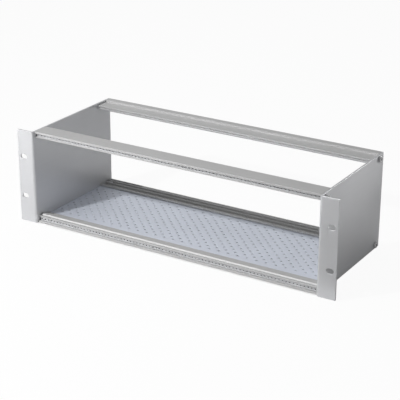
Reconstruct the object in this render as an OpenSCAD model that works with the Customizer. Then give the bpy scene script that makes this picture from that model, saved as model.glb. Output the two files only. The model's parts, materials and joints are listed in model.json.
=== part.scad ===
// Subrack card cage, three rack units high and 84 horizontal pitches wide.
// Two folded side panels carry the rack flanges. Four extruded rails join them,
// tapped strips in the front rails take the plug-in units' screws, and a
// perforated floor slides into grooves of the two lower rails.
// Frame: millimetres, +Z up, front towards -Y, origin at the bottom centre.

/* [Rack format] */
// overall width across both mounting flanges
flange_span = 482.6; // [330:0.1:600]
// height of the side panels
panel_h = 132.5; // [88:0.1:220]
// depth from the flange face to the rear edge
case_depth = 180; // [130:1:400]
// width over the outer faces of the side panels
body_w = 435; // [290:0.1:449]

/* [Side panels] */
// thickness of the folded side panel
panel_t = 2.5; // [1.5:0.1:3]
// outside radius of the flange fold
fold_r = 3.8; // [2.6:0.1:6]
// distance between the left and right flange slot centres
slot_span = 465.1; // [312:0.1:590]
// distance between the lower and upper flange slot centres
slot_pitch = 57.15; // [31:0.05:90]
// end to end length of a flange slot
slot_len = 10.3; // [7:0.1:14]
// height of a flange slot
slot_w = 6.8; // [5:0.1:8]

/* [Front rails] */
// distance from the flange face to a front rail
front_rail_y = 4; // [3.8:0.1:12]
// depth of a front rail
front_rail_d = 25.5; // [22:0.5:40]
// thickness of a front rail's outer plate
front_plate_t = 1.6; // [1.2:0.1:2.4]
// height of the outer lip that holds the tapped strip
outer_lip_h = 2.9; // [2.2:0.1:3.4]
// setback of the inner lip behind the rail's front edge
inner_lip_y = 2.6; // [1:0.1:2.8]
// thickness of the inner lip
inner_lip_t = 1.2; // [0.8:0.1:1.6]
// height of the screw boss, which is the height of the rail
boss_h = 10.8; // [9.6:0.1:14]
// depth of the screw boss
boss_d = 6.6; // [6:0.1:9]
// chamfer along the front top edge of the boss
boss_chamfer = 1.2; // [0.4:0.1:2]

/* [Rear rails] */
// depth of a rear rail
rear_rail_d = 29.7; // [26:0.1:40]
// depth of the recess along the outside of a rear rail
rear_recess = 2.7; // [1.5:0.1:2.9]
// width of that recess
rear_recess_w = 19.6; // [17:0.1:26]
// thickness of the rear strip
rear_plate_t = 1.8; // [1.2:0.1:2.4]
// height of the bulb-edged front rib
front_rib_h = 8.8; // [8:0.1:12]
// width of the bulb, which is the front rib's thickness
bulb_w = 3; // [2.6:0.1:4]
// height of the rib before the screw channel
middle_rib_h = 7.8; // [7:0.1:10]
// thickness of the rib before the screw channel
middle_rib_t = 1.6; // [1.2:0.1:2.4]
// height of the rib behind the screw channel
rear_rib_h = 8.8; // [7.4:0.1:12]
// thickness of the rib behind the screw channel
rear_rib_t = 1.8; // [1.2:0.1:2.4]
// height of the wall along the rear edge
rear_wall_h = 7.4; // [4:0.1:10]

/* [Tapped strips] */
// one horizontal pitch, the distance between neighbouring tapped holes
pitch = 5.08; // [5.08]
// number of tapped holes in a strip
strip_holes = 84; // [42:2:84]
// height of the tapped holes above the rail's outer face
strip_hole_z = 5; // [5]
// tap drill of the tapped holes
tap_d = 2.05; // [1.6:0.05:2.2]
// height of a strip
strip_h = 6; // [5.6:0.1:6.2]
// thickness of a strip
strip_t = 2.2; // [1.8:0.1:2.4]

/* [Floor] */
// thickness of the perforated sheet
sheet_t = 1; // [0.8:0.1:1.5]
// height of the sheet's underside
sheet_z = 4.5; // [4.5:0.1:5]
// diameter of a perforation
hole_d = 3.2; // [2:0.1:5]
// distance between neighbouring perforations along a slanting row
hole_step = 10; // [7:0.1:14]
// distance from the flange face to the first row of perforations
first_row_y = 42.6; // [38:0.1:60]
// shift of the first row along the sheet
row_shift = -4.5; // [-7:0.1:7]
// plain margin at the sheet's sides
side_margin = 2.6; // [2:0.1:12]
// plain margin behind the last row
rear_margin = 8; // [6:0.1:20]

/* [Screws] */
// core diameter of a self-tapping screw
screw_d = 4.5; // [4:0.1:5]
// length of a screw below its head
screw_len = 14; // [10:1:25]
// diameter of a screw head
head_d = 8.6; // [7:0.1:10]
// height of a screw head
head_h = 2.8; // [2:0.1:4]
// key width of the hexagonal socket
socket_w = 3; // [2.5:0.1:4]
// depth of the hexagonal socket
socket_depth = 1.7; // [1:0.1:2]
// height of every screw above its rail's outer face
screw_z = 6; // [5.4:0.1:6.4]

/* [Clearances] */
// free play around a tapped strip's edges
strip_play = 0.1; // [0.05:0.05:0.3]
// free play between the sheet and each groove
groove_play = 0.1; // [0.05:0.05:0.3]
// free play at each edge of the sheet
edge_play = 0.2; // [0.1:0.05:0.5]
// radial play between a screw core and its port
port_play = 0.05; // [0.02:0.01:0.1]
// radial play between a screw and its panel hole
panel_hole_play = 0.4; // [0.2:0.05:0.6]

/* [Hidden] */
$fn = 48;
see_through = 1;
front_y = -case_depth / 2;
rear_y = case_depth / 2;
inner_w = body_w - 2 * panel_t;
flange_w = (flange_span - body_w) / 2;
// front rail section
strip_back_y = inner_lip_y + inner_lip_t;
boss_y = strip_back_y + strip_t + 2 * strip_play;
pocket_z = strip_hole_z - strip_h / 2 - strip_play;
pocket_top = strip_hole_z + strip_h / 2 + strip_play;
inner_lip_z = 2 * strip_hole_z - outer_lip_h;
cap_top = pocket_top + 1;
front_port_y = boss_y + boss_d / 2;
// grooves for the floor
groove_h = sheet_t + groove_play;
groove_d = 1.5;
shelf_t = 1;
shelf_wall_t = 1.6;
// rear rail section
rear_web_t = sheet_z - rear_recess;
port_r = screw_d / 2 + port_play;
rear_port_y = rear_recess_w - port_r;
// floor
row_step = hole_step / sqrt(2);
sheet_front = front_y + front_rail_y + front_rail_d - groove_d + edge_play;
sheet_back = rear_y - rear_rail_d + groove_d - edge_play;
sheet_w = inner_w - 2 * edge_play;
rows = floor((sheet_back - rear_margin - front_y - first_row_y) / row_step) + 1;
row_reach = sheet_w / 2 - side_margin - hole_d / 2;

// ---- placing helpers ----

// a section drawn as (depth, height), stretched along X and centred
module along_x(length) {
    translate([-length / 2, 0, 0])
        rotate([90, 0, 90])
            linear_extrude(length)
                children();
}

// the same thing upside down at the top of the cage
module at_top() {
    translate([0, 0, panel_h])
        mirror([0, 0, 1])
            children();
}

// a bar along X starting at the origin
module bar_x(radius, length) {
    rotate([0, 90, 0])
        cylinder(r = radius, h = length);
}

// the four rail screws of one side, as (y, z) places
module at_screws() {
    for (y = [front_y + front_rail_y + front_port_y, rear_y - rear_rail_d + rear_port_y])
        for (z = [screw_z, panel_h - screw_z])
            translate([0, y, z])
                children();
}

// ---- side panels ----

// plan of the right-hand panel: wall, fold and flange from one sheet
module panel_plan() {
    wall_x = body_w / 2 - panel_t;
    translate([wall_x, front_y + fold_r])
        square([panel_t, case_depth - fold_r]);
    translate([wall_x + fold_r, front_y])
        square([flange_span / 2 - wall_x - fold_r, panel_t]);
    translate([wall_x + fold_r, front_y + fold_r])
        intersection() {
            difference() {
                circle(fold_r);
                circle(fold_r - panel_t);
            }
            translate([-fold_r, -fold_r])
                square(fold_r);
        }
}

// a slot through the flange, long side along X
module flange_slot() {
    half = (slot_len - slot_w) / 2;
    depth = panel_t + 2 * see_through;
    translate([0, front_y - see_through, 0]) {
        translate([-half, 0, -slot_w / 2])
            cube([2 * half, depth, slot_w]);
        for (side = [-1, 1])
            translate([side * half, 0, 0])
                rotate([-90, 0, 0])
                    cylinder(d = slot_w, h = depth);
    }
}

module right_panel_shape() {
    difference() {
        linear_extrude(panel_h)
            panel_plan();
        for (side = [-1, 1])
            translate([slot_span / 2, 0, panel_h / 2 + side * slot_pitch / 2])
                flange_slot();
        at_screws()
            translate([inner_w / 2 - see_through, 0, 0])
                bar_x(screw_d / 2 + panel_hole_play, panel_t + 2 * see_through);
    }
}

module right_side_panel() {
    color([0.8, 0.81, 0.83])
        right_panel_shape();
}

module left_side_panel() {
    color([0.8, 0.81, 0.83])
        mirror([1, 0, 0])
            right_panel_shape();
}

// ---- front rails ----

// section of the lower front rail: depth from its front edge, height from its outer face
module front_rail_section() {
    groove_top = sheet_z + groove_h;
    difference() {
        union() {
            // outer plate and the lip before the tapped strip
            square([front_rail_d, front_plate_t]);
            square([strip_back_y, outer_lip_h]);
            // floor of the strip's pocket
            square([boss_y, pocket_z]);
            // inner lip and the cap that carries it
            translate([inner_lip_y, inner_lip_z])
                square([inner_lip_t, cap_top - inner_lip_z]);
            translate([inner_lip_y, pocket_top])
                square([boss_y + 1 - inner_lip_y, cap_top - pocket_top]);
            // screw boss with its front top edge chamfered
            translate([boss_y, 0])
                polygon([
                    [0, 0], [boss_d, 0], [boss_d, boss_h],
                    [boss_chamfer, boss_h], [0, boss_h - boss_chamfer]
                ]);
            // shelf, wall and ledge around the floor's groove
            translate([boss_y, groove_top])
                square([front_rail_d - boss_y, shelf_t]);
            translate([front_rail_d - groove_d - shelf_wall_t, 0])
                square([shelf_wall_t, groove_top]);
            translate([front_rail_d - groove_d - shelf_wall_t, sheet_z - 1.2])
                square([groove_d + shelf_wall_t, 1.2]);
        }
        translate([front_port_y, screw_z])
            circle(port_r);
    }
}

module front_rail_shape() {
    translate([0, front_y + front_rail_y, 0])
        along_x(inner_w)
            front_rail_section();
}

module front_bottom_rail() {
    color([0.72, 0.73, 0.75])
        front_rail_shape();
}

module front_top_rail() {
    color([0.72, 0.73, 0.75])
        at_top()
            front_rail_shape();
}

// ---- rear rails ----

// section of the lower rear rail, drawn like the front one
module rear_rail_section() {
    groove_top = sheet_z + groove_h;
    rib_y = rear_recess_w - 2 * port_r - middle_rib_t;
    difference() {
        union() {
            // web behind the outer recess, with the floor's ledge at its front edge
            translate([0, rear_recess])
                square([rear_recess_w + rear_rib_t, rear_web_t]);
            // front rib: neck beside the groove, then the round-edged bulb
            translate([groove_d, rear_recess])
                square([bulb_w - groove_d, groove_top - rear_recess]);
            translate([0, groove_top])
                square([bulb_w, front_rib_h - bulb_w / 2 - groove_top]);
            translate([bulb_w / 2, front_rib_h - bulb_w / 2])
                circle(bulb_w / 2);
            // both walls of the screw channel, filled up to the screw's centre
            translate([rib_y, rear_recess])
                square([middle_rib_t, middle_rib_h - rear_recess]);
            translate([rib_y, rear_recess])
                square([middle_rib_t + 2 * port_r, screw_z - rear_recess]);
            translate([rear_recess_w, 0])
                square([rear_rib_t, rear_rib_h]);
            // rear strip and the wall along its edge
            translate([rear_recess_w, 0])
                square([rear_rail_d - rear_recess_w, rear_plate_t]);
            translate([rear_rail_d - middle_rib_t, 0])
                square([middle_rib_t, rear_wall_h]);
        }
        translate([rear_port_y, screw_z])
            circle(port_r);
    }
}

module rear_rail_shape() {
    translate([0, rear_y - rear_rail_d, 0])
        along_x(inner_w)
            rear_rail_section();
}

module rear_bottom_rail() {
    color([0.7, 0.7, 0.71])
        rear_rail_shape();
}

module rear_top_rail() {
    color([0.7, 0.7, 0.71])
        at_top()
            rear_rail_shape();
}

// ---- tapped strips ----

// a bar behind the lips of a front rail, drilled once per horizontal pitch
module strip_shape() {
    strip_w = strip_holes * pitch;
    translate([0, front_y + front_rail_y + strip_back_y + strip_t, strip_hole_z])
        rotate([90, 0, 0])
            linear_extrude(strip_t)
                difference() {
                    square([strip_w, strip_h], center = true);
                    for (i = [0 : strip_holes - 1])
                        translate([(i - (strip_holes - 1) / 2) * pitch, 0])
                            circle(d = tap_d, $fn = 16);
                }
}

module bottom_tapped_strip() {
    color([0.62, 0.63, 0.65])
        strip_shape();
}

module top_tapped_strip() {
    color([0.62, 0.63, 0.65])
        at_top()
            strip_shape();
}

// ---- floor ----

// staggered perforations: every second row is moved by half the spacing
module perforations() {
    for (row = [0 : rows - 1]) {
        shift = row_shift + (row % 2) * row_step;
        first = ceil((-row_reach - shift) / (2 * row_step));
        last = floor((row_reach - shift) / (2 * row_step));
        for (i = [first : last])
            translate([shift + 2 * row_step * i, front_y + first_row_y + row * row_step])
                circle(d = hole_d, $fn = 16);
    }
}

module perforated_floor() {
    color([0.76, 0.78, 0.82])
        translate([0, 0, sheet_z])
            linear_extrude(sheet_t)
                difference() {
                    translate([-sheet_w / 2, sheet_front])
                        square([sheet_w, sheet_back - sheet_front]);
                    perforations();
                }
}

// ---- screws ----

// pan head screw along -X, its head standing on the plane x = 0
module rail_screw() {
    edge_r = 1;
    difference() {
        rotate([0, 90, 0])
            rotate_extrude() {
                square([head_d / 2, head_h - edge_r]);
                square([head_d / 2 - edge_r, head_h]);
                translate([head_d / 2 - edge_r, head_h - edge_r])
                    intersection() {
                        circle(edge_r);
                        square(edge_r);
                    }
                translate([0, -screw_len])
                    square([screw_d / 2, screw_len]);
            }
        translate([head_h - socket_depth, 0, 0])
            rotate([0, 90, 0])
                cylinder(d = socket_w / cos(30), h = socket_depth + see_through, $fn = 6);
    }
}

module right_screws_shape() {
    at_screws()
        translate([body_w / 2, 0, 0])
            rail_screw();
}

module right_rail_screws() {
    color([0.75, 0.75, 0.77])
        right_screws_shape();
}

module left_rail_screws() {
    color([0.75, 0.75, 0.77])
        mirror([1, 0, 0])
            right_screws_shape();
}

left_side_panel();
right_side_panel();
front_top_rail();
front_bottom_rail();
rear_top_rail();
rear_bottom_rail();
top_tapped_strip();
bottom_tapped_strip();
perforated_floor();
left_rail_screws();
right_rail_screws();
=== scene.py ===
"""Finish and studio for the subrack card cage: softened metal edges, anodised and plated
finishes, plain floor, lamps and camera. Lengths are metres, in the frame of the CAD model."""
import json
from math import radians

import bpy
from bpy.props import FloatProperty, FloatVectorProperty, IntProperty, PointerProperty
from mathutils import Matrix, Vector

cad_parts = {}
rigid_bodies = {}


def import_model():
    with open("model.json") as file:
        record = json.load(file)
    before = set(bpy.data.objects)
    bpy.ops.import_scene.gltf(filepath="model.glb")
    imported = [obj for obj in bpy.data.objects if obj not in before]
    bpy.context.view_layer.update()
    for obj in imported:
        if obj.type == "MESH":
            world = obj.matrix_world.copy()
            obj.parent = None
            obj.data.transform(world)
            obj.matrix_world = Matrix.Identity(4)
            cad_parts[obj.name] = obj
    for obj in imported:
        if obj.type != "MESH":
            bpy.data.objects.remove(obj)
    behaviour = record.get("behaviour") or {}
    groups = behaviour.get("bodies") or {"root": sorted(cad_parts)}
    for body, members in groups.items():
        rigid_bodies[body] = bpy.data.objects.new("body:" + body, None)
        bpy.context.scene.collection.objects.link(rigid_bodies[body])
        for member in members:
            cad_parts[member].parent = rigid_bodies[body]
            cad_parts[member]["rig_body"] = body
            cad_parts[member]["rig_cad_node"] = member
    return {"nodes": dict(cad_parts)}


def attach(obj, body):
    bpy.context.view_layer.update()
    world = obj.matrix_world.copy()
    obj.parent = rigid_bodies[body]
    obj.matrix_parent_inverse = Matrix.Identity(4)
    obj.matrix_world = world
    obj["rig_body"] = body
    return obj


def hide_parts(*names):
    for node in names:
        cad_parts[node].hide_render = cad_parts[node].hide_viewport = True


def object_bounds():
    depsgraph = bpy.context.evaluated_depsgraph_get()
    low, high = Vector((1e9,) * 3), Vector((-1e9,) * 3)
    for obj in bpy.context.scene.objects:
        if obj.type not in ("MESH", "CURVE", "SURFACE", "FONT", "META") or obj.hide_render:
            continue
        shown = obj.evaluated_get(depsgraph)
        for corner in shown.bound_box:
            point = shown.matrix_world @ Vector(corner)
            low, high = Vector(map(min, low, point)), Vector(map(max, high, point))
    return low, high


bl_info = {
    "name": "Subrack Card Cage Finish",
    "version": (1, 0, 0),
    "blender": (4, 5, 0),
    "location": "View3D > Sidebar > Subrack",
    "description": "Finishes a rack-width card cage and sets it in a plain studio",
    "category": "Object",
}

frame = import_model()
CAD_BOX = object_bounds()
NODES = frame["nodes"]

# edges: points this near are one, faces this level are one, and what looks smooth or is broken
MERGE_DISTANCE = 1e-6
FLAT_ANGLE = radians(0.5)
SMOOTH_ANGLE = radians(30)
SHARP_ANGLE = radians(32)
# faces across an edge of a piece with many holes
HOLED_SEGMENTS = 1

# fineness of each finish's grain along X, Y and Z
PANEL_GRAIN = (6, 6, 900)
RAIL_GRAIN = (5, 900, 900)
STRIP_GRAIN = (20, 700, 700)
SHEET_GRAIN = (8, 500, 500)
SCREW_GRAIN = (300, 300, 300)
GRAIN_DETAIL = 3
GRAIN_ROUGHNESS = 0.6
CLOUD_SCALE = 14
CLOUD_DETAIL = 2
# how far the clouds shade a colour up and down
CLOUD_SHADE = 0.05
SCREW_SHADE = 0.08
# the noise values that stand for the least and the most gloss
NOISE_LOW = 0.25
NOISE_HIGH = 0.75
GLOSS_SPREAD = 0.08
RELIEF_STRENGTH = 0.5
RELIEF_DEPTH = 0.00002
BARE_METAL = 1

# share of white in the floor beside the cage and under it, as the camera sees it; under the cage
# this is a painted dim grey glow that stands in for the half-shaded floor seen through the holes
FLOOR_BESIDE = 0.94
PAINTED_GREY_UNDER = 0.22
# the floor counts as under the cage within these shares of its half width and half depth
UNDER_X = 0.9
UNDER_Y = 0.98
# share of white in the floor and in the surroundings, as metal and glass see them
FLOOR_IN_METAL = 0.05
WORLD_IN_METAL = 0.1
FLOOR_SIZE = 12
FLOOR_DROP = 0.0002
FLOOR_ROUGHNESS = 0.9
FLOOR_SPECULAR = 0.1

MIDDLE = (CAD_BOX[0] + CAD_BOX[1]) / 2
# name, place, point that it faces, setting that holds its power, side length
AREA_LAMPS = (
    ("key_lamp", (-0.576, -1.03, 0.95), MIDDLE, "key_power", 0.05),
    ("top_lamp", (-0.6, 0.6, 1.3), MIDDLE, "top_power", 1.2),
    ("side_lamp", (-1.1, -1.0, 0.35), (-0.2, 0, 0.07), "side_power", 0.6),
)
# the narrow lamp lights the outside of the right panel
SPOT_PLACE = (0.75, 0.9, 0.14)
SPOT_AIM = (0.2175, -0.055, 0.14)
SPOT_CONE = radians(13)
SPOT_BLEND = 1
SPOT_RADIUS = 0.04
# corners of the dark card, a painted dark reflection in the metal at the front right, its height
# above the floor and its grey
CARD_LOW = (-0.02, -0.8)
CARD_HIGH = (0.7, -0.12)
CARD_HEIGHT = 0.001
PAINTED_REFLECTION_GREY = 0.1
SENSOR_WIDTH = 36


# ---- sizes, colours and lamps that a user would change ----

def colour_prop(name, description, default):
    return FloatVectorProperty(
        name=name, description=description, subtype="COLOR", size=3, min=0, max=1, default=default
    )


def share_prop(name, description, default):
    return FloatProperty(
        name=name, description=description, subtype="FACTOR", min=0, max=1, default=default
    )


def length_prop(name, description, default):
    return FloatProperty(
        name=name, description=description, unit="LENGTH", min=0, default=default
    )


def angle_prop(name, description, degrees):
    return FloatProperty(
        name=name, description=description, unit="ROTATION", default=radians(degrees)
    )


def power_prop(name, description, watts):
    return FloatProperty(name=name, description=description, unit="POWER", default=watts)


class EdgeSettings(bpy.types.PropertyGroup):
    """How far each kind of piece has its sharp edges broken."""

    panel: length_prop(
        "Panel edge", "Width of the broken edges of the folded side panels", 0.00045
    )
    rail: length_prop("Rail edge", "Width of the broken edges of the extruded rails", 0.00022)
    strip: length_prop("Strip edge", "Width of the broken edges of the tapped strips", 0.00012)
    sheet: length_prop("Sheet edge", "Width of the rolled rim of the perforations", 0.00015)
    screw: length_prop("Screw edge", "Width of the broken edges of the screw heads", 0.00018)
    segments: IntProperty(
        name="Segments", description="Faces across each broken edge", min=1, max=4, default=2
    )


class FinishSettings(bpy.types.PropertyGroup):
    """Colours and gloss of the five finishes."""

    panel_colour: colour_prop(
        "Panel colour", "Satin anodised sheet of the side panels", (0.66, 0.665, 0.68)
    )
    panel_roughness: share_prop("Panel roughness", "Mean roughness of the side panels", 0.42)
    rail_colour: colour_prop("Rail colour", "Satin anodised extrusion", (0.56, 0.56, 0.56))
    rail_roughness: share_prop("Rail roughness", "Mean roughness of the rails", 0.6)
    strip_colour: colour_prop(
        "Strip colour", "Zinc plated steel of the tapped strips", (0.66, 0.665, 0.68)
    )
    strip_roughness: share_prop("Strip roughness", "Mean roughness of the tapped strips", 0.52)
    # the floor sheet is passivated aluminium, with the cool tint of the key light painted into
    # its colour; the lamps themselves are white
    sheet_colour: colour_prop(
        "Sheet colour", "Passivated aluminium of the floor", (0.78, 0.82, 0.91)
    )
    sheet_roughness: share_prop("Sheet roughness", "Mean roughness of the floor", 0.5)
    screw_colour: colour_prop(
        "Screw colour", "Bright zinc plating of the screws", (0.62, 0.62, 0.63)
    )
    screw_roughness: share_prop("Screw roughness", "Mean roughness of the screws", 0.25)
    metalness: share_prop(
        "Metalness", "Share of the surface that answers like bare metal", 0.55
    )


class StageSettings(bpy.types.PropertyGroup):
    """Camera, lamps and the brightness of the surroundings."""

    camera_place: FloatVectorProperty(
        name="Camera place", description="Where the camera stands", unit="LENGTH", size=3,
        default=(0.83274, -1.37415, 0.69931),
    )
    camera_turn: angle_prop("Camera turn", "Angle to the right of the front view", 31.394)
    camera_drop: angle_prop("Camera drop", "Angle below the horizon", 22.014)
    camera_roll: angle_prop("Camera roll", "Turn about the view axis", 0.224)
    camera_lens: FloatProperty(
        name="Camera lens", description="Focal length", unit="CAMERA", default=116.15
    )
    key_power: power_prop("Key lamp", "Power of the small lamp at the front left", 15)
    top_power: power_prop("Top lamp", "Power of the wide lamp above", 3.5)
    side_power: power_prop("Side lamp", "Power of the low lamp at the front left", 2.2)
    low_power: power_prop("Low lamp", "Power of the narrow lamp at the rear right", 14)
    world_fill: share_prop(
        "World fill", "Brightness of the surroundings on matt surfaces", 0.26
    )
    floor_colour: colour_prop("Floor colour", "Pale matt floor", (0.86, 0.86, 0.86))


# ---- shared steps ----

def only(piece):
    """Makes one object the whole selection and the active one."""
    bpy.ops.object.select_all(action="DESELECT")
    piece.select_set(True)
    bpy.context.view_layer.objects.active = piece


def softened(node, edge, segments, material, one_face=True):
    """A copy of a CAD node with broken edges, standing for that node. Each flat side becomes
    one face first, unless it has so many holes that this would take long."""
    only(NODES[node])
    bpy.ops.object.duplicate()
    piece = bpy.context.view_layer.objects.active
    piece.name = piece.data.name = f"{node}_finished"
    piece.parent = None
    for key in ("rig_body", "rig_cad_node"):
        del piece[key]
    bpy.ops.mesh.customdata_custom_splitnormals_clear()
    bpy.ops.object.mode_set(mode="EDIT")
    bpy.ops.mesh.select_all(action="SELECT")
    bpy.ops.mesh.remove_doubles(threshold=MERGE_DISTANCE)
    if one_face:
        bpy.ops.mesh.dissolve_limited(angle_limit=FLAT_ANGLE)
    bpy.ops.object.mode_set(mode="OBJECT")
    bpy.ops.object.shade_smooth_by_angle(angle=SMOOTH_ANGLE)
    bpy.ops.object.modifier_add(type="BEVEL")
    bevel = piece.modifiers[-1]
    bevel.width = edge
    bevel.segments = segments
    bevel.limit_method = "ANGLE"
    bevel.angle_limit = SHARP_ANGLE
    bevel.use_clamp_overlap = False
    bevel.harden_normals = True
    bpy.ops.object.modifier_apply(modifier=bevel.name)
    piece.data.materials.clear()
    piece.data.materials.append(material)
    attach(piece, "root")
    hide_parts(node)
    return piece


def node_material(name):
    """A new material, with its node tree."""
    material = bpy.data.materials.new(name)
    material.use_nodes = True
    return material, material.node_tree


def noise_node(tree, vector, scale, detail):
    """A noise texture that is read at the vector."""
    noise = tree.nodes.new("ShaderNodeTexNoise")
    noise.inputs["Scale"].default_value = scale
    noise.inputs["Detail"].default_value = detail
    tree.links.new(vector, noise.inputs["Vector"])
    return noise


def satin_metal(name, colour, roughness, metalness, grain, shade=CLOUD_SHADE):
    """Metal with a fine grain: grain gives the fineness of the lines along X, Y and Z."""
    material, tree = node_material(name)
    nodes, links = tree.nodes, tree.links
    shader = nodes["Principled BSDF"]
    shader.inputs["Metallic"].default_value = metalness
    place = nodes.new("ShaderNodeTexCoord").outputs["Object"]
    stretch = nodes.new("ShaderNodeMapping")
    stretch.inputs["Scale"].default_value = grain
    links.new(place, stretch.inputs["Vector"])
    lines = noise_node(tree, stretch.outputs["Vector"], 1, GRAIN_DETAIL)
    lines.inputs["Roughness"].default_value = GRAIN_ROUGHNESS
    clouds = noise_node(tree, place, CLOUD_SCALE, CLOUD_DETAIL)
    # the clouds shade the colour a little, the lines vary the gloss
    tone = nodes.new("ShaderNodeMix")
    tone.data_type = "RGBA"
    tone.inputs["A"].default_value = (*[c * (1 - shade) for c in colour], 1)
    tone.inputs["B"].default_value = (*[min(1, c * (1 + shade)) for c in colour], 1)
    links.new(clouds.outputs["Fac"], tone.inputs["Factor"])
    links.new(tone.outputs["Result"], shader.inputs["Base Color"])
    gloss = nodes.new("ShaderNodeMapRange")
    gloss.inputs["From Min"].default_value = NOISE_LOW
    gloss.inputs["From Max"].default_value = NOISE_HIGH
    gloss.inputs["To Min"].default_value = roughness - GLOSS_SPREAD
    gloss.inputs["To Max"].default_value = roughness + GLOSS_SPREAD
    links.new(lines.outputs["Fac"], gloss.inputs["Value"])
    links.new(gloss.outputs["Result"], shader.inputs["Roughness"])
    relief = nodes.new("ShaderNodeBump")
    relief.inputs["Strength"].default_value = RELIEF_STRENGTH
    relief.inputs["Distance"].default_value = RELIEF_DEPTH
    links.new(lines.outputs["Fac"], relief.inputs["Height"])
    links.new(relief.outputs["Normal"], shader.inputs["Normal"])
    return material


# ---- pieces ----

class SUBRACK_OT_side_panels(bpy.types.Operator):
    """Break the edges of both folded side panels and give them their satin finish"""

    bl_idname = "subrack.side_panels"
    bl_label = "Side Panels"

    def execute(self, context):
        edges, finish = context.scene.subrack_edges, context.scene.subrack_finish
        metal = satin_metal(
            "satin_panel", finish.panel_colour, finish.panel_roughness, finish.metalness,
            PANEL_GRAIN,
        )
        for node in ("left_side_panel", "right_side_panel"):
            softened(node, edges.panel, edges.segments, metal)
        return {"FINISHED"}


class SUBRACK_OT_rails(bpy.types.Operator):
    """Break the edges of the four extruded rails and give them their drawn finish"""

    bl_idname = "subrack.rails"
    bl_label = "Rails"

    def execute(self, context):
        edges, finish = context.scene.subrack_edges, context.scene.subrack_finish
        metal = satin_metal(
            "satin_extrusion", finish.rail_colour, finish.rail_roughness, finish.metalness,
            RAIL_GRAIN,
        )
        for node in ("front_top_rail", "front_bottom_rail", "rear_top_rail", "rear_bottom_rail"):
            softened(node, edges.rail, edges.segments, metal)
        return {"FINISHED"}


class SUBRACK_OT_tapped_strips(bpy.types.Operator):
    """Break the edges of both tapped strips and their holes, and plate them"""

    bl_idname = "subrack.tapped_strips"
    bl_label = "Tapped Strips"

    def execute(self, context):
        edges, finish = context.scene.subrack_edges, context.scene.subrack_finish
        metal = satin_metal(
            "plated_strip", finish.strip_colour, finish.strip_roughness, finish.metalness,
            STRIP_GRAIN,
        )
        for node in ("top_tapped_strip", "bottom_tapped_strip"):
            softened(node, edges.strip, HOLED_SEGMENTS, metal, one_face=False)
        return {"FINISHED"}


class SUBRACK_OT_floor(bpy.types.Operator):
    """Roll the rims of the perforations and finish the floor sheet"""

    bl_idname = "subrack.floor"
    bl_label = "Perforated Floor"

    def execute(self, context):
        edges, finish = context.scene.subrack_edges, context.scene.subrack_finish
        metal = satin_metal(
            "rolled_sheet", finish.sheet_colour, finish.sheet_roughness, finish.metalness,
            SHEET_GRAIN,
        )
        softened("perforated_floor", edges.sheet, HOLED_SEGMENTS, metal, one_face=False)
        return {"FINISHED"}


class SUBRACK_OT_screws(bpy.types.Operator):
    """Break the edges of the rail screws and plate them"""

    bl_idname = "subrack.screws"
    bl_label = "Rail Screws"

    def execute(self, context):
        edges, finish = context.scene.subrack_edges, context.scene.subrack_finish
        metal = satin_metal(
            "bright_zinc", finish.screw_colour, finish.screw_roughness, BARE_METAL,
            SCREW_GRAIN, SCREW_SHADE,
        )
        for node in ("left_rail_screws", "right_rail_screws"):
            softened(node, edges.screw, edges.segments, metal)
        return {"FINISHED"}


# ---- stage ----

def math_node(tree, operation, *values):
    """Output of a maths node. Each value is a number or another node's output."""
    node = tree.nodes.new("ShaderNodeMath")
    node.operation = operation
    for socket, value in zip(node.inputs, values):
        if isinstance(value, bpy.types.NodeSocket):
            tree.links.new(value, socket)
        else:
            socket.default_value = value
    return node.outputs["Value"]


def whitened(tree, plain, white, to_camera, in_metal, target):
    """Turns a plain shader whiter by the share to_camera where the camera looks at it, and by
    in_metal where metal or glass shows it. Other rays meet it plain."""
    paths = tree.nodes.new("ShaderNodeLightPath")
    camera = math_node(tree, "MULTIPLY", paths.outputs["Is Camera Ray"], to_camera)
    shiny = math_node(
        tree, "MAXIMUM", paths.outputs["Is Glossy Ray"], paths.outputs["Is Transmission Ray"]
    )
    mix = tree.nodes.new("ShaderNodeMixShader")
    tree.links.new(math_node(tree, "MULTIPLY_ADD", shiny, in_metal, camera), mix.inputs["Fac"])
    tree.links.new(plain, mix.inputs[1])
    tree.links.new(white, mix.inputs[2])
    tree.links.new(mix.outputs["Shader"], target)


def floor_material(colour):
    """Matt floor that is nearly white to the camera beside the cage and painted a dim grey under
    it, a painted glow for the shaded floor seen through the holes; it still keeps the shadow."""
    material, tree = node_material("studio_floor")
    nodes, links = tree.nodes, tree.links
    matt = nodes["Principled BSDF"]
    matt.inputs["Base Color"].default_value = (*colour, 1)
    matt.inputs["Roughness"].default_value = FLOOR_ROUGHNESS
    matt.inputs["Specular IOR Level"].default_value = FLOOR_SPECULAR
    white = nodes.new("ShaderNodeEmission")
    white.inputs["Color"].default_value = (1, 1, 1, 1)
    parts = nodes.new("ShaderNodeSeparateXYZ")
    links.new(nodes.new("ShaderNodeTexCoord").outputs["Object"], parts.inputs["Vector"])
    # mask of the painted grey under the cage: less white within the cage's footprint
    beside_x, beside_y = [
        math_node(tree, "GREATER_THAN", math_node(tree, "ABSOLUTE", parts.outputs[axis]), reach)
        for axis, reach in (("X", CAD_BOX[1].x * UNDER_X), ("Y", CAD_BOX[1].y * UNDER_Y))
    ]
    seen = nodes.new("ShaderNodeMapRange")
    seen.inputs["To Min"].default_value = PAINTED_GREY_UNDER
    seen.inputs["To Max"].default_value = FLOOR_BESIDE
    links.new(math_node(tree, "MAXIMUM", beside_x, beside_y), seen.inputs["Value"])
    whitened(
        tree, matt.outputs["BSDF"], white.outputs["Emission"], seen.outputs["Result"],
        FLOOR_IN_METAL, nodes["Material Output"].inputs["Surface"],
    )
    return material


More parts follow.
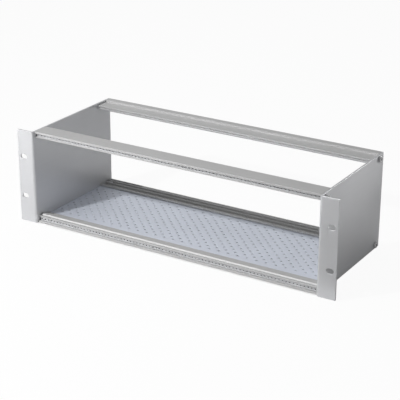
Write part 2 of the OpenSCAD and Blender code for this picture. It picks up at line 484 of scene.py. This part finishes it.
def white_world(fill):
    """World that is white to the camera, a little white in metal and glass, and dim on matt
    surfaces."""
    world = bpy.data.worlds.new("studio_world")
    world.use_nodes = True
    tree = world.node_tree
    soft, white = tree.nodes["Background"], tree.nodes.new("ShaderNodeBackground")
    for background, strength in ((soft, fill), (white, 1)):
        background.inputs["Color"].default_value = (1, 1, 1, 1)
        background.inputs["Strength"].default_value = strength
    whitened(
        tree, soft.outputs["Background"], white.outputs["Background"], 1, WORLD_IN_METAL,
        tree.nodes["World Output"].inputs["Surface"],
    )
    bpy.context.scene.world = world


def add_lamp(kind, name, place, aim, power):
    """A lamp that faces the aim point."""
    direction = Vector(aim) - Vector(place)
    bpy.ops.object.light_add(
        type=kind, location=place, rotation=direction.to_track_quat("-Z", "Y").to_euler()
    )
    lamp = bpy.context.active_object
    lamp.name = lamp.data.name = name
    lamp.data.energy = power
    return lamp


def area_lamp(name, place, aim, power, size):
    """A square lamp that the camera doesn't see."""
    lamp = add_lamp("AREA", name, place, aim, power)
    lamp.data.size = size
    lamp.visible_camera = False


def spot_lamp(name, place, aim, power):
    """A narrow lamp with a soft rim."""
    lamp = add_lamp("SPOT", name, place, aim, power)
    lamp.data.spot_size = SPOT_CONE
    lamp.data.spot_blend = SPOT_BLEND
    lamp.data.shadow_soft_size = SPOT_RADIUS


def painted_reflection_card(name, low, high, height):
    """A flat dark card that only shows in the metal, as a painted dark reflection."""
    bpy.ops.object.select_all(action="DESELECT")
    centre = ((low[0] + high[0]) / 2, (low[1] + high[1]) / 2, height)
    bpy.ops.mesh.primitive_plane_add(size=1, location=centre)
    card = bpy.context.active_object
    card.name = name
    card.scale = (high[0] - low[0], high[1] - low[1], 1)
    card.visible_camera = card.visible_shadow = card.visible_diffuse = False
    material, tree = node_material(name)
    shader = tree.nodes["Principled BSDF"]
    shader.inputs["Base Color"].default_value = (PAINTED_REFLECTION_GREY, PAINTED_REFLECTION_GREY, PAINTED_REFLECTION_GREY, 1)
    card.data.materials.append(material)


class SUBRACK_OT_stage(bpy.types.Operator):
    """Set the floor, the surroundings, the lamps and the camera"""

    bl_idname = "subrack.stage"
    bl_label = "Studio"

    def execute(self, context):
        stage = context.scene.subrack_stage
        bpy.ops.object.select_all(action="DESELECT")
        bpy.ops.mesh.primitive_plane_add(
            size=FLOOR_SIZE, location=(0, 0, CAD_BOX[0].z - FLOOR_DROP)
        )
        floor = context.active_object
        floor.name = "studio_floor"
        floor.data.materials.append(floor_material(stage.floor_colour))
        white_world(stage.world_fill)
        for name, place, aim, setting, size in AREA_LAMPS:
            area_lamp(name, place, aim, getattr(stage, setting), size)
        spot_lamp("low_lamp", SPOT_PLACE, SPOT_AIM, stage.low_power)
        # painted dark reflection: a card that only the metal sees darkens the right flange
        painted_reflection_card("front_card", CARD_LOW, CARD_HIGH, CARD_HEIGHT)
        turn = (
            Matrix.Rotation(stage.camera_turn, 3, "Z")
            @ Matrix.Rotation(radians(90) - stage.camera_drop, 3, "X")
            @ Matrix.Rotation(stage.camera_roll, 3, "Z")
        )
        bpy.ops.object.camera_add(location=stage.camera_place, rotation=turn.to_euler())
        camera = context.active_object
        camera.name = "studio_camera"
        camera.data.lens = stage.camera_lens
        camera.data.sensor_width = SENSOR_WIDTH
        context.scene.camera = camera
        context.scene.view_settings.view_transform = "Standard"
        return {"FINISHED"}


class SUBRACK_PT_panel(bpy.types.Panel):
    """Lists the steps and the values of the card cage"""

    bl_label = "Subrack Card Cage"
    bl_idname = "SUBRACK_PT_panel"
    bl_space_type = "VIEW_3D"
    bl_region_type = "UI"
    bl_category = "Subrack"

    def draw(self, context):
        scene = context.scene
        for step in STEPS:
            self.layout.operator(step.bl_idname)
        for group in (scene.subrack_edges, scene.subrack_finish, scene.subrack_stage):
            box = self.layout.box()
            for name in group.__annotations__:
                box.prop(group, name)


STEPS = (
    SUBRACK_OT_side_panels,
    SUBRACK_OT_rails,
    SUBRACK_OT_tapped_strips,
    SUBRACK_OT_floor,
    SUBRACK_OT_screws,
    SUBRACK_OT_stage,
)
CLASSES = (EdgeSettings, FinishSettings, StageSettings, *STEPS, SUBRACK_PT_panel)


def register():
    for each in CLASSES:
        bpy.utils.register_class(each)
    bpy.types.Scene.subrack_edges = PointerProperty(type=EdgeSettings)
    bpy.types.Scene.subrack_finish = PointerProperty(type=FinishSettings)
    bpy.types.Scene.subrack_stage = PointerProperty(type=StageSettings)


def unregister():
    del bpy.types.Scene.subrack_stage
    del bpy.types.Scene.subrack_finish
    del bpy.types.Scene.subrack_edges
    for each in reversed(CLASSES):
        bpy.utils.unregister_class(each)


def main():
    register()
    bpy.ops.subrack.side_panels()
    bpy.ops.subrack.rails()
    bpy.ops.subrack.tapped_strips()
    bpy.ops.subrack.floor()
    bpy.ops.subrack.screws()
    bpy.ops.subrack.stage()


if __name__ == "__main__":
    main()
